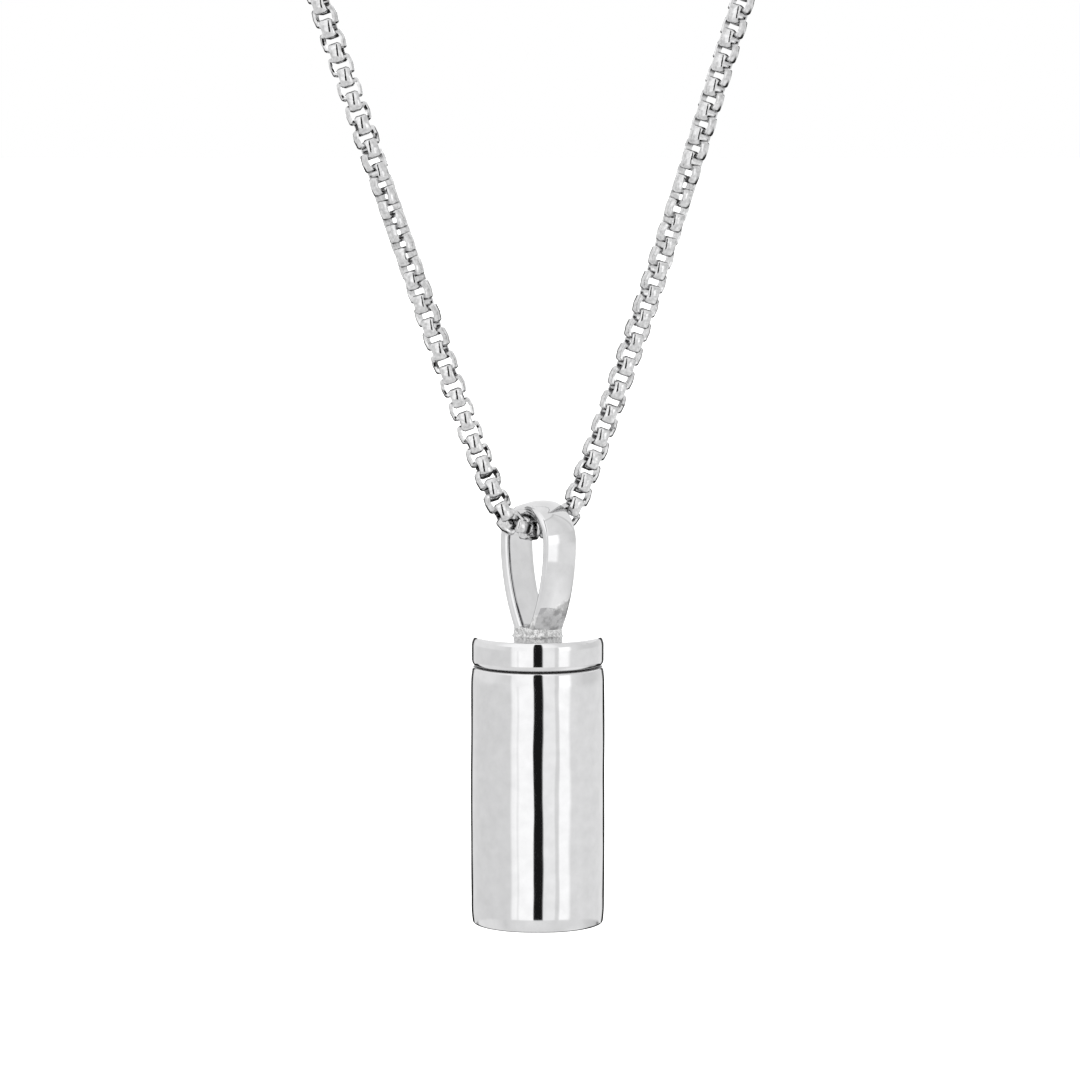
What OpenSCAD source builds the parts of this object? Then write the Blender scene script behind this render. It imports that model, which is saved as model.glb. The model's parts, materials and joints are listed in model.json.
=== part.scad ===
// Keepsake urn pendant on a box chain, held as it hangs round a neck.
// A hollow cylinder closed by a screw cap, with a ribbon bail soldered on the cap.
// Millimetres. The origin is the middle of the clasp at the nape. +Z is up, the front faces -Y.

/* [Chamber] */
// Outside diameter of the chamber
chamber_d = 12; // [9:0.1:18]
// Outside length of the chamber
chamber_len = 23.2; // [16:0.1:40]
// How much the radius swells at the middle of the length
chamber_swell = 0.05; // [0:0.01:0.3]
// Thickness of the side wall
wall_t = 1.8; // [1:0.1:2.4]
// Thickness of the closed bottom
floor_t = 1.5; // [0.8:0.1:4]
// Rounding of the bottom edge
foot_round = 0.4; // [0.1:0.05:0.7]
// How far the mouth's rounded outer edge draws in
mouth_round = 0.25; // [0.05:0.05:0.4]
// Height of the mouth's rounded outer edge
mouth_edge_h = 1.4; // [0.2:0.1:1.8]

/* [Cap] */
// Diameter of the cap's disc
cap_d = 11.8; // [9:0.1:18]
// Thickness of the cap's disc
cap_t = 2.6; // [1.5:0.1:5]
// How far the disc's rounded edges draw in
cap_round = 0.3; // [0.05:0.05:0.6]
// Height of the disc's rounded top edge
cap_edge_h = 0.75; // [0.2:0.05:0.85]
// Height of the disc's rounded bottom edge
cap_foot_h = 0.5; // [0.2:0.05:0.6]
// Seam left between the cap and the chamber
seam_gap = 0.15; // [0.05:0.05:0.3]

/* [Screw] */
// Length of the threaded plug below the disc
plug_len = 5; // [3:0.1:8]
// Distance from one ring of the thread to the next
thread_pitch = 0.7; // [0.5:0.05:1]
// Depth of the thread
thread_depth = 0.25; // [0.1:0.05:0.4]
// Clearance between the plug's rings and the bore
thread_gap = 0.06; // [0.02:0.01:0.1]

/* [Bail] */
// Turn of the bail's hole away from the side
bail_turn = 40; // [0:1:80]
// Width of the strap
strap_w = 3.3; // [2:0.1:5]
// Thickness of the strap along its middle
strap_t = 1.2; // [0.9:0.05:1.6]
// Thickness of the strap at its edges
strap_edge_t = 0.8; // [0.5:0.05:0.9]
// Inside radius of the loop's top
loop_r = 2.45; // [2:0.05:4]
// Height of the loop's widest place above the cap
loop_h = 8.55; // [6:0.05:14]
// Half the slot that the solder fills between the legs
foot_half = 0.5; // [0.2:0.05:0.9]
// Height of the solder between the legs
solder_h = 1; // [0.4:0.05:2]

/* [Chain] */
// Width of the box chain
chain_w = 2.05; // [1.2:0.05:2.4]
// Clearance between the chain and the top of the loop
chain_gap = 0.12; // [0.03:0.01:0.2]

/* [Clasp] */
// Length of the claw
claw_len = 8.6; // [7:0.1:14]
// Width of the claw at its wide end
claw_w = 4.6; // [3.6:0.1:7]
// Width of the claw's band
claw_band = 0.9; // [0.6:0.05:1.1]
// Thickness of the claw
claw_t = 1.6; // [1.2:0.1:2.4]
// Inside radius of the rings at both ends
ring_r = 1.2; // [1.1:0.05:1.6]
// Wire of the rings
ring_wire = 0.7; // [0.5:0.05:0.8]
// Clearance between a ring and the chain's end
ring_gap = 0.15; // [0.05:0.05:0.3]

/* [Hidden] */

// The axis that the pendant swings about runs through this point of the chain
pivot = [0, -112, -185];

// The chain's route, from the clasp's left ring down to the bail and up to its right ring
route_left = [
  [-19.5, -1.6, -0.5], [-33.9, -7.3, -2.5], [-45.2, -18, -6.5], [-52, -34.5, -13.5],
  [-53.5, -53, -25], [-50.3, -71, -41], [-44.5, -85.4, -61], [-37.2, -97.2, -85],
  [-28.2, -105.7, -111], [-19.09, -110.3, -139], [-12.97, -111.6, -157], [-8.25, -112.2, -170.4],
  [-4.98, -112.6, -179.3], [-4.15, -113.3, -181.3], [-3.43, -113.83, -183],
  [-2.98, -113.97, -183.85], [-2.4, -113.8, -184.5], [-1.7, -113.4, -184.95]
];
route_bail = [[-1, -112.84, -185.1], [1, -111.16, -185.1]];
route_right = [
  [1.7, -110.6, -184.95], [2.4, -110.15, -184.5], [2.95, -110, -183.85],
  [3.35, -109.95, -183.1], [4, -109.6, -181.4], [4.82, -109, -179.3], [7.9, -108.8, -170.7],
  [12.34, -108.4, -157.2], [18.02, -107.6, -139], [26.9, -103.7, -111], [36.2, -95.6, -85],
  [44, -84.6, -61], [50.2, -70.6, -41], [53.5, -53, -25], [52, -34.5, -13.5],
  [45.2, -18, -6.5], [33.9, -7.3, -2.5], [19.5, -1.6, -0.5]
];
// Distance from one ring of the chain's tube to the next, away from the bail
tube_step = 8.4;
tube_sides = 8;

chamber_r = chamber_d / 2;
bore_r = chamber_r - wall_t;
cap_r = cap_d / 2;
crest_r = bore_r - thread_gap;
thread_n = floor((plug_len - 2 * thread_pitch) / thread_pitch);

pivot_h = loop_h + loop_r - chain_w / 2 - chain_gap;
cap_top = pivot.z - pivot_h;
cap_low = cap_top - cap_t;
mouth_z = cap_low - seam_gap;

// Depth that the legs and the solder reach into the cap
leg_sink = 0.3;
side_r = 16;
foot_turn = acos((side_r - loop_r + foot_half) / side_r);

ring_out = ring_r + ring_wire;
ring_x = -claw_len / 2 + claw_band - ring_r - ring_wire / 2 + ring_wire * 0.4;
eye_x = claw_len / 2 + ring_r;
route_start = [ring_x - ring_out - ring_gap, 0, 0];
route_end = [eye_x + ring_out + ring_gap, 0, 0];
route = concat([route_start], route_left, route_bail, route_right, [route_end]);

// Points of a rounded corner, rx across and rz high, from angle a0 to a1 about a centre
function corner(cx, cz, rx, rz, a0, a1, n = 8) =
  [for (i = [0:n]) let (a = a0 + (a1 - a0) * i / n) [cx + rx * cos(a), cz + rz * sin(a)]];

// Half outline of the rings of a thread on radius r, from z0 downwards
function thread_line(r, depth, z0, n) =
  [for (i = [0:n - 1], k = [0:3])
    [r + depth * [0, 1, 1, 0][k], z0 - thread_pitch * (i + [0.1, 0.4, 0.6, 0.9][k])]];

// Curve through the points, with tangents weighted by the distances beside them
function tangent(a, b, c) =
  let (d0 = norm(b - a), d1 = norm(c - b)) ((b - a) * d1 / d0 + (c - b) * d0 / d1) / (d0 + d1);
function hermite(p, q, m, n, t) =
  p * (2 * t^3 - 3 * t^2 + 1) + m * (t^3 - 2 * t^2 + t)
  + q * (3 * t^2 - 2 * t^3) + n * (t^3 - t^2);
function slope_at(pts, i) =
  let (e = len(pts) - 1)
  i == 0 ? (pts[1] - pts[0]) / norm(pts[1] - pts[0]) :
  i == e ? (pts[e] - pts[e - 1]) / norm(pts[e] - pts[e - 1]) :
  tangent(pts[i - 1], pts[i], pts[i + 1]);
function curve(pts, step) =
  concat(
    [for (i = [0:len(pts) - 2])
      let (d = norm(pts[i + 1] - pts[i]), n = max(1, round(d / step)))
      for (k = [0:n - 1])
        hermite(pts[i], pts[i + 1], slope_at(pts, i) * d, slope_at(pts, i + 1) * d, k / n)],
    [pts[len(pts) - 1]]
  );

// Side vectors of the tube, each carried on from the one before without twist
function unit(v) = v / norm(v);
function square_to(v, t) = unit(v - t * (v * t));
function carried(dirs, i, side) =
  i == len(dirs) ? [] :
  let (s = square_to(side, dirs[i])) concat([s], carried(dirs, i + 1, s));

// Faces of a skin over rings of m points each, closed at both ends
function skin(rings, m) =
  concat(
    [[for (j = [0:m - 1]) j]],
    [for (i = [0:rings - 2], j = [0:m - 1]) let (k = (j + 1) % m)
      [i * m + k, i * m + j, (i + 1) * m + j, (i + 1) * m + k]],
    [[for (j = [m - 1:-1:0]) (rings - 1) * m + j]]
  );

module tube(pts, step, d, sides) {
  c = curve(pts, step);
  e = len(c) - 1;
  dirs = [for (i = [0:e]) unit(c[min(i + 1, e)] - c[max(i - 1, 0)])];
  side = carried(dirs, 0, [0, 0, 1]);
  // The corners stand out a little, so that the flats and corners lie about the true surface
  r = d / 2 / sqrt(cos(180 / sides));
  verts = [for (i = [0:e], j = [0:sides - 1])
    let (a = 360 * (j + 0.5) / sides, up = side[i], out = cross(dirs[i], up))
    c[i] + r * (cos(a) * up + sin(a) * out)];
  polyhedron(verts, skin(e + 1, sides), convexity = 8);
}

// Section of the strap: [place across the width, thickness there], flat inside and domed outside
strap_bevel = 0.12;
function dome(s) = strap_t - (strap_t - strap_edge_t) * (2 * s / strap_w)^2;
strap_section = concat(
  [[-strap_w / 2 + strap_bevel, 0], [strap_w / 2 - strap_bevel, 0], [strap_w / 2, strap_bevel]],
  [for (i = [4:-1:-4])
    let (s = (strap_w / 2 - (abs(i) == 4 ? 0 : strap_bevel / 2)) * i / 4)
    [s, dome(s) - (abs(i) == 4 ? strap_bevel : 0)]],
  [[-strap_w / 2, strap_bevel]]
);

// Stations of the loop from foot to foot: [place, height, angle of the outward normal]
function side_station(t) =
  let (a = foot_turn * t) [loop_r - side_r + side_r * cos(a), loop_h - side_r * sin(a), -a];
loop_stations = concat(
  [[foot_half, -leg_sink, 0]],
  [for (i = [10:-1:1]) side_station(i / 10)],
  [for (i = [0:24]) let (a = 180 * i / 24) [loop_r * cos(a), loop_h + loop_r * sin(a), a]],
  [for (i = [1:10]) let (s = side_station(i / 10)) [-s.x, s.y, 180 - s[2]]],
  [[-foot_half, -leg_sink, 180]]
);

// The strap swept round the loop, hole along X, standing on z = 0
module bail_loop() {
  m = len(strap_section);
  verts = [for (st = loop_stations, q = strap_section)
    [q[0], st[0] + q[1] * cos(st[2]), st[1] + q[1] * sin(st[2])]];
  polyhedron(verts, skin(len(loop_stations), m), convexity = 6);
}

module solder() {
  inset = 0.15;
  width = strap_w - 2 * inset;
  depth = 2 * foot_half + strap_edge_t;
  translate([-width / 2, -depth / 2, -leg_sink])
    cube([width, depth, leg_sink + solder_h]);
}

// The disc with its threaded plug, top face on z = 0
module cap_disc() {
  root_r = crest_r - thread_depth;
  rotate_extrude($fn = 96)
    polygon(concat(
      [[0, 0]],
      corner(cap_r - cap_round, -cap_edge_h, cap_round, cap_edge_h, 90, 0),
      corner(cap_r - cap_round, -cap_t + cap_foot_h, cap_round, cap_foot_h, 0, -90),
      [[root_r, -cap_t]],
      thread_line(root_r, thread_depth, -cap_t - thread_pitch, thread_n),
      [[root_r, -cap_t - plug_len + thread_depth], [root_r - thread_depth, -cap_t - plug_len],
       [0, -cap_t - plug_len]]
    ));
}

module bail_cap() {
  color("silver")
    translate([pivot.x, pivot.y, cap_top])
      union() {
        cap_disc();
        rotate([0, 0, bail_turn]) {
          bail_loop();
          solder();
        }
      }
}

// Outside radius at a share t of the length, t from 0 to 1
function barrel_r(t) = chamber_r - chamber_swell * (2 * t - 1)^2;

module chamber() {
  low_r = barrel_r(0);
  top_r = barrel_r(1);
  groove_n = thread_n + 1;
  color("silver")
    translate([pivot.x, pivot.y, mouth_z])
      rotate_extrude($fn = 96)
        polygon(concat(
          [[0, -chamber_len]],
          corner(low_r - foot_round, -chamber_len + foot_round, foot_round, foot_round, -90, 0),
          [for (i = [1:7]) [barrel_r(i / 8), -chamber_len * (1 - i / 8)]],
          corner(top_r - mouth_round, -mouth_edge_h, mouth_round, mouth_edge_h, 0, 90),
          [[bore_r + thread_depth, 0]],
          thread_line(bore_r, thread_depth, -thread_depth, groove_n),
          [[bore_r, -chamber_len + floor_t + foot_round]],
          [[bore_r - foot_round, -chamber_len + floor_t], [0, -chamber_len + floor_t]]
        ));
}

module chain() {
  color("gainsboro")
    tube(route, tube_step, chain_w, tube_sides);
}

// Ring of round wire about the Z axis
module wire_ring() {
  rotate_extrude($fn = 48)
    translate([ring_r + ring_wire / 2, 0])
      circle(d = ring_wire, $fn = 24);
}

// Outline of the claw, inset by d, wide end to the left
module claw_outline(d) {
  big = claw_w / 2 - d;
  small = claw_w / 3.6 - d;
  hull() {
    translate([-claw_len / 2 + claw_w / 2, 0])
      circle(r = big, $fn = 48);
    translate([claw_len / 2 - claw_w / 3.6, 0])
      circle(r = small, $fn = 48);
  }
}

module clasp() {
  color("silver")
    union() {
      rotate([90, 0, 0])
        translate([0, 0, -claw_t / 2])
          linear_extrude(claw_t)
            difference() {
              claw_outline(0);
              intersection() {
                claw_outline(claw_band);
                translate([-claw_len / 2, -claw_w / 2])
                  square([claw_len * 0.62, claw_w]);
              }
            }
      translate([eye_x, 0, 0])
        rotate([90, 0, 0])
          wire_ring();
      translate([ring_x, 0, 0])
        wire_ring();
    }
}

chamber();
bail_cap();
chain();
clasp();
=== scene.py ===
import json
import math

import bpy
import numpy as np
from bpy.props import FloatProperty, FloatVectorProperty, IntProperty, PointerProperty
from bpy.types import Operator, Panel, PropertyGroup
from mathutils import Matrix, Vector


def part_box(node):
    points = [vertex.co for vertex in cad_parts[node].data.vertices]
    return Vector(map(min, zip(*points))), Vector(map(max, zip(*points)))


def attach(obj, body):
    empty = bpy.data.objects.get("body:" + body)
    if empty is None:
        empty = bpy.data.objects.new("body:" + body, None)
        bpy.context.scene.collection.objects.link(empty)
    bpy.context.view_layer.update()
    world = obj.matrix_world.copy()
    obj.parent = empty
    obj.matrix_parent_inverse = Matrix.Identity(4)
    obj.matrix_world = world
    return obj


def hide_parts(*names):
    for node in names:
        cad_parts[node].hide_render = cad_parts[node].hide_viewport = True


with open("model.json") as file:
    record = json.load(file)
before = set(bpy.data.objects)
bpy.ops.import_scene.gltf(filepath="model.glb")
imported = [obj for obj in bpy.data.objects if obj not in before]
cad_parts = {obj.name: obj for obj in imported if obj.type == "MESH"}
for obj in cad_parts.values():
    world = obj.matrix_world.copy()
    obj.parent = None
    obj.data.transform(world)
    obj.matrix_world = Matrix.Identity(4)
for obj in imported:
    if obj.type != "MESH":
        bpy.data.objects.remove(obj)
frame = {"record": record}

bl_info = {
    "name": "Keepsake urn pendant",
    "version": (1, 0, 0),
    "blender": (4, 5, 0),
    "location": "View3D > Sidebar > Pendant",
    "description": "Builds a polished cylinder urn pendant with a ribbon bail on a rounded box chain",
    "category": "Add Mesh",
}

MM = 0.001
UP = np.array([0, 0, 1])
FRONT = np.array([0, -1.0, 0])
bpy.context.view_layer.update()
JOINTS = {joint["name"]: joint for joint in frame["record"]["behaviour"]["joints"]}
PIVOT = np.array(JOINTS["pendant_swing"]["pos_m"])
HOLE_AXIS = np.array(JOINTS["pendant_swing"]["axis"])
CHAMBER_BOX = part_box("chamber")
CAP_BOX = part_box("bail_cap")
# The middle of the neck, about which the chain turns its side
NECK_MIDDLE = np.array([0, -55, 0]) * MM
# Rows of the meshes down the chamber's side, its bore and the cap's plug
SIDE_ROWS, BORE_ROWS, PLUG_ROWS = 72, 84, 80
# How scratches are squeezed along X, Y and Z by hand polishing and by turning
HAND_LAY = (1, 6, 1)
TURNED_LAY = (1, 1, 9)

# The chain's route in millimetres: alike on both sides from the nape round the neck, then down each strand
ROUTE_NECK = [
    (19.5, -1.6, -0.5), (33.9, -7.3, -2.5), (45.2, -18, -6.5), (52, -34.5, -13.5), (53.5, -53, -25),
]
ROUTE_LEFT = [(-x, y, z) for x, y, z in ROUTE_NECK] + [
    (-50.3, -71, -41), (-44.5, -85.4, -61), (-37.2, -97.2, -85),
    (-28.2, -105.7, -111), (-19.09, -110.3, -139), (-12.97, -111.6, -157), (-8.25, -112.2, -170.4),
    (-4.98, -112.6, -179.3), (-4.15, -113.3, -181.3), (-3.43, -113.83, -183),
    (-2.98, -113.97, -183.85), (-2.4, -113.8, -184.5), (-1.7, -113.4, -184.95),
]
ROUTE_BAIL = [(-1, -112.84, -185.1), (1, -111.16, -185.1)]
ROUTE_RIGHT = [
    (1.7, -110.6, -184.95), (2.4, -110.15, -184.5), (2.95, -110, -183.85),
    (3.35, -109.95, -183.1), (4, -109.6, -181.4), (4.82, -109, -179.3), (7.9, -108.8, -170.7),
    (12.34, -108.4, -157.2), (18.02, -107.6, -139), (26.9, -103.7, -111), (36.2, -95.6, -85),
    (44, -84.6, -61), (50.2, -70.6, -41),
] + ROUTE_NECK[::-1]
# Roll of the links about the chain, in degrees, against their height above the pivot in millimetres
ROLL_LEFT = [
    (47.3, 18), (43, 8), (38, -3), (34, -18), (29.5, -42), (24.5, -53), (19, -68), (15, -78),
    (11.3, -90), (6.8, -98), (2.3, -110),
]
ROLL_RIGHT = [
    (2.3, -75), (11.3, -76), (17.5, -70), (28, -57), (31.8, -37), (36, -32), (41.9, -28), (47.3, -28),
]
# How far the links slide on along the route, in millimetres, against the same height
SLIDE_LEFT = [(40, 1.36), (7, 0.73)]
SLIDE_RIGHT = [(7, 0.43), (40, 0.45)]
# The solder's side from its foot to its middle: share of its height, and millimetres outside the feet
SOLDER_ROWS = np.array([
    (-0.06, 0.24), (0.02, 0.17), (0.06, 0.10), (0.13, 0.045), (0.25, 0.015), (0.45, 0.0),
    (0.65, -0.01), (0.80, -0.025), (0.90, -0.06), (0.97, -0.13), (1.0, -0.25), (0.99, -0.45),
    (0.97, -0.8), (0.96, -1.2),
])


def length_prop(name, text, millimetres):
    """A size in metres whose default is written in millimetres."""
    return FloatProperty(name=name, description=text, default=millimetres * MM, unit="LENGTH", precision=5)


def angle_prop(name, text, degrees):
    """An angle in radians whose default is written in degrees."""
    return FloatProperty(name=name, description=text, default=math.radians(degrees), subtype="ANGLE")


def share_prop(name, text, share):
    """A share or a roughness between 0 and 1."""
    return FloatProperty(name=name, description=text, default=share, min=0, max=1)


def colour_prop(name, text, colour):
    """A colour of red, green and blue shares."""
    return FloatVectorProperty(
        name=name, description=text, default=colour, subtype="COLOR", size=3, min=0, max=1)


class ChamberSizes(PropertyGroup):
    wall: length_prop("Wall", "Thickness of the side wall", 1.8)
    floor: length_prop("Floor", "Thickness of the closed bottom", 1.5)
    swell: length_prop("Swell", "How much wider the middle of the length is", 0.05)
    foot_round: length_prop("Foot rounding", "Rounding of the bottom edge", 0.26)
    foot_taper: length_prop("Foot taper", "How much the side draws in above the bottom edge", 0.12)
    foot_run: length_prop("Foot run", "Height over which the side draws in to the bottom edge", 1.6)
    mouth_round: length_prop("Mouth rounding", "How far the mouth's rounded outer edge draws in", 0.14)
    mouth_rise: length_prop("Mouth edge", "Height of the mouth's rounded outer edge", 0.26)
    mouth_taper: length_prop("Mouth taper", "How much the side draws in below the mouth", 0.12)
    mouth_run: length_prop("Mouth run", "Height over which the side draws in to the mouth", 1.4)
    lip_round: length_prop("Lip rounding", "Rounding of the bore's edge at the mouth", 0.12)
    floor_round: length_prop("Floor rounding", "Rounding between the cavity's wall and floor", 0.4)
    waver: length_prop("Waver", "Depth of the hand polishing's unevenness", 0.03)
    segments: IntProperty(name="Segments", description="Divisions round the chamber", default=160, min=32)


class CapSizes(PropertyGroup):
    thickness: length_prop("Thickness", "Thickness of the cap's disc", 2.6)
    edge_round: length_prop("Edge rounding", "How far the disc's rounded edges draw in", 0.32)
    edge_rise: length_prop("Edge height", "Height of the disc's rounded top edge", 0.75)
    plug: length_prop("Plug", "Length of the threaded plug", 5.0)
    chamfer: length_prop("Plug chamfer", "Chamfer round the plug's end", 0.25)
    pitch: length_prop("Pitch", "Rise of the thread in one turn", 0.7)
    depth: length_prop("Thread depth", "Depth of the thread", 0.25)
    gap: length_prop("Thread gap", "Clearance between the two threads", 0.06)


class BailSizes(PropertyGroup):
    strap_width: length_prop("Strap width", "Width of the strap", 3.3)
    strap_middle: length_prop("Strap middle", "Thickness of the strap along its middle", 1.2)
    strap_edge: length_prop("Strap edge", "Thickness of the strap at its edges", 0.95)
    lean: share_prop("Lean", "Rise of the strap's outer face across its width", 0.09)
    inner_round: length_prop("Inner rounding", "Rounding of the strap's inner corners", 0.6)
    inner_sweep: angle_prop("Inner sweep", "How far the inner corners turn before the crisp edge", 54)
    left_round: length_prop("Left rounding", "Rounding of the legs' left outer corner", 0.09)
    right_round: length_prop("Right rounding", "Rounding of the right outer corner", 0.42)
    arch_round: length_prop("Arch rounding", "Rounding of the arch's left outer corner", 0.5)
    loop_radius: length_prop("Loop radius", "Inside radius of the loop's top", 2.45)
    loop_height: length_prop("Loop height", "Height of the loop's widest place above the cap", 8.55)
    side_radius: length_prop("Side radius", "Radius of the loop's long sides", 16.0)
    foot_half: length_prop("Foot slot", "Half the slot between the feet", 0.5)
    foot_sink: length_prop("Foot sink", "How far the feet reach into the cap", 0.25)
    solder: length_prop("Solder height", "Height of the solder at the feet", 0.85)
    stain_height: length_prop("Stain height", "How far the torch's stains reach above the cap", 1.45)


class ChainSizes(PropertyGroup):
    width: length_prop("Width", "Width of the chain", 2.2)
    link_length: length_prop("Link length", "Outside length of one link", 1.812)
    band_width: length_prop("Band width", "Width of a link's band", 1.15)
    band_thickness: length_prop("Band thickness", "Thickness of a link's band", 0.34)
    bow: share_prop("Bow", "Share that a link's side bows out", 0.11)
    flare: share_prop("Flare", "Share that a link's band widens at its ends", 0.16)


class ClaspSizes(PropertyGroup):
    claw_length: length_prop("Claw length", "Length of the claw", 8.6)
    claw_width: length_prop("Claw width", "Width of the claw at its wide end", 4.6)
    claw_band: length_prop("Claw band", "Width of the claw's band", 0.9)
    claw_bight: length_prop("Claw bight", "Radius of the opening's narrow end", 0.45)
    claw_thickness: length_prop("Claw thickness", "Thickness of the claw", 1.6)
    ring_radius: length_prop("Ring radius", "Inside radius of the end rings", 1.2)
    ring_wire: length_prop("Ring wire", "Wire of the end rings", 0.7)


class Finish(PropertyGroup):
    steel: colour_prop("Steel", "Colour of the polished steel", (0.58, 0.58, 0.585))
    chain_steel: colour_prop("Chain steel", "Colour of the chain's steel", (0.53, 0.53, 0.533))
    solder: colour_prop("Solder", "Colour of the solder and of its stains", (0.56, 0.56, 0.56))
    gloss: share_prop("Roughness", "Roughness of the polished steel", 0.045)
    satin: share_prop("Satin", "Roughness of the turned faces at the seam", 0.6)
    cap_satin: share_prop("Cap satin", "Roughness of the cap's top face", 0.13)


class StudioSizes(PropertyGroup):
    lens: FloatProperty(name="Lens", description="Focal length in millimetres", default=168.3)
    distance: length_prop("Distance", "Camera to the pendant's axis", 451.0)
    tilt: angle_prop("Tilt", "How far the camera looks down", 5.8)
    aim_side: length_prop("Aim sideways", "Aimed point to the right of the pendant's axis", 0.2)
    aim_height: length_prop("Aim height", "Aimed point above the top of the cap", 8.60)
    floor_drop: length_prop("Floor drop", "Floor below the pendant", 90.0)
    floor_size: length_prop("Floor size", "Side of the floor", 12000.0)


# Meshes


def grid_quads(rows, columns, wrap_rows=False):
    """Quads of a grid of rows by columns whose columns wrap round. Each quad first goes one step along the
    columns, then one along the rows."""
    row = np.arange(rows if wrap_rows else rows - 1)[:, None]
    column = np.arange(columns)[None, :]
    low, high = row * columns, (row + 1) % rows * columns
    ahead = (column + 1) % columns
    quads = np.stack(np.broadcast_arrays(low + column, low + ahead, high + ahead, high + column), -1)
    return quads.reshape(-1, 4)


def closed_tube(grid):
    """Vertices, quads and triangles of a grid whose columns wrap round. Each end row is closed by a fan
    round its middle."""
    rows, columns = grid.shape[:2]
    verts = np.concatenate([grid.reshape(-1, 3), grid[[0, -1]].mean(1)])
    ring, middle, last = np.arange(columns), np.full(columns, rows * columns), (rows - 1) * columns
    ahead = np.roll(ring, -1)
    low_fan = np.column_stack([middle, ahead, ring])
    high_fan = np.column_stack([middle + 1, last + ring, last + ahead])
    return verts, grid_quads(rows, columns), np.concatenate([low_fan, high_fan])


def build_mesh(name, verts, quads, triangles=None, sharp=None):
    """A smooth mesh object from arrays of vertices, quads and triangles. Edges over an angle stay sharp."""
    triangles = np.zeros((0, 3), int) if triangles is None else np.asarray(triangles)
    quads = np.asarray(quads).reshape(-1, 4)
    mesh = bpy.data.meshes.new(name)
    mesh.vertices.add(len(verts))
    mesh.vertices.foreach_set("co", np.asarray(verts, np.float32).ravel())
    corners = np.concatenate([quads.ravel(), triangles.ravel()]).astype(np.int32)
    starts = np.concatenate([
        np.arange(len(quads)) * 4,
        len(quads) * 4 + np.arange(len(triangles)) * 3,
    ]).astype(np.int32)
    mesh.loops.add(len(corners))
    mesh.loops.foreach_set("vertex_index", corners)
    mesh.polygons.add(len(starts))
    mesh.polygons.foreach_set("loop_start", starts)
    mesh.update(calc_edges=True)
    mesh.validate()
    mesh.polygons.foreach_set("use_smooth", np.ones(len(mesh.polygons), bool))
    if sharp is not None:
        mesh.set_sharp_from_angle(angle=math.radians(sharp))
    obj = bpy.data.objects.new(name, mesh)
    bpy.context.scene.collection.objects.link(obj)
    return obj


def finish_piece(obj, material, body, node):
    """Gives a piece its finish and ties it to the frame."""
    obj.data.materials.append(material)
    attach(obj, body)
    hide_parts(node)


def turned(profile, segments, top, shift):
    """A surface of revolution about the pendant's axis, its heights measured from top. profile holds rows of
    radius and height from the axis at its start, round the outside, back to the axis at its end. shift adds
    to the radius at each angle and row."""
    radius, height = profile[1:-1, :1], profile[1:-1, 1:]
    angle = full_turn(segments)[None, :]
    full = radius + shift(angle, height)
    rings = np.stack([full * np.cos(angle), full * np.sin(angle), np.broadcast_to(height, full.shape)], -1)
    return closed_tube(rings + [PIVOT[0], PIVOT[1], top])


def full_turn(steps):
    """Angles evenly spaced round a full turn, without its end."""
    return np.linspace(0, 2 * math.pi, steps, endpoint=False)


def arc(centre, across, start, end, steps, rise=None):
    """Points of a round corner over angles in degrees. With a rise of its own it is part of an oval."""
    angle = np.radians(np.linspace(start, end, steps))
    rise = across if rise is None else rise
    return np.column_stack([centre[0] + across * np.cos(angle), centre[1] + rise * np.sin(angle)])


def blunt(angle, power):
    """The two sides of a blunt oval: an angle's cosine and sine, each to a power with its sign kept."""
    return [np.sign(side) * np.abs(side) ** power for side in (np.cos(angle), np.sin(angle))]


def line(start, end, steps):
    """Evenly spaced points from start up to but not including end."""
    share = np.linspace(0, 1, steps, endpoint=False)[:, None]
    return np.asarray(start) + share * (np.asarray(end) - np.asarray(start))


def ease(value, low, high):
    """0 below low, 1 above high, with a smooth rise between."""
    share = np.clip((value - low) / (high - low), 0, 1)
    return share * share * (3 - 2 * share)


def thread(angle, height, pitch, depth, low, high):
    """A screw thread as a change of radius: a ridge with flat crest and root that climbs one pitch in each
    turn, and fades out over 0.8 of a pitch at both ends of its stretch."""
    turn = np.mod(height / pitch - angle / (2 * math.pi), 1)
    flank, root = 2.6, 0.25
    ridge = np.clip(flank * (0.5 - np.abs(turn - 0.5)) - root, 0, 1)
    run_out = pitch * 0.8
    fade = ease(height, low, low + run_out) * (1 - ease(height, high - run_out, high))
    return depth * ridge * fade


def lumps(x, y, z, seed):
    """Soft lumps between about -1 and 1: a sum of seven ever finer and weaker sine waves in unlike
    directions."""
    rng = np.random.default_rng(seed)
    total = 0
    for wave in range(7):
        pace = 1 + 0.5 * wave
        direction = rng.normal(size=3)
        direction *= pace / np.linalg.norm(direction)
        phase = x * direction[0] + y * direction[1] + z * direction[2] + rng.uniform(0, 6)
        total = total + np.sin(phase) / pace
    return total / 3


def polish(angle, height, length, radius):
    """Hand polishing's soft unevenness over a cylinder's side, fading out at both its ends."""
    x, y, z = radius * np.cos(angle) / MM, radius * np.sin(angle) / MM, height / MM
    uneven = lumps(x * 0.55, y * 0.55, z * 0.32, seed=3)
    fine = lumps(x * 1.3, y * 1.3, z * 0.8, seed=8)
    fade = ease(-height, 0.4 * MM, 2.2 * MM) * ease(height + length, 1.2 * MM, 3 * MM)
    return (uneven + 0.3 * fine) * fade


# Materials


def set_inputs(tree, node, inputs):
    """Gives a node's inputs their values, and links those that take another node's output."""
    for key, value in inputs.items():
        if isinstance(value, bpy.types.NodeSocket):
            tree.links.new(value, node.inputs[key])
        else:
            node.inputs[key].default_value = value


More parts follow.
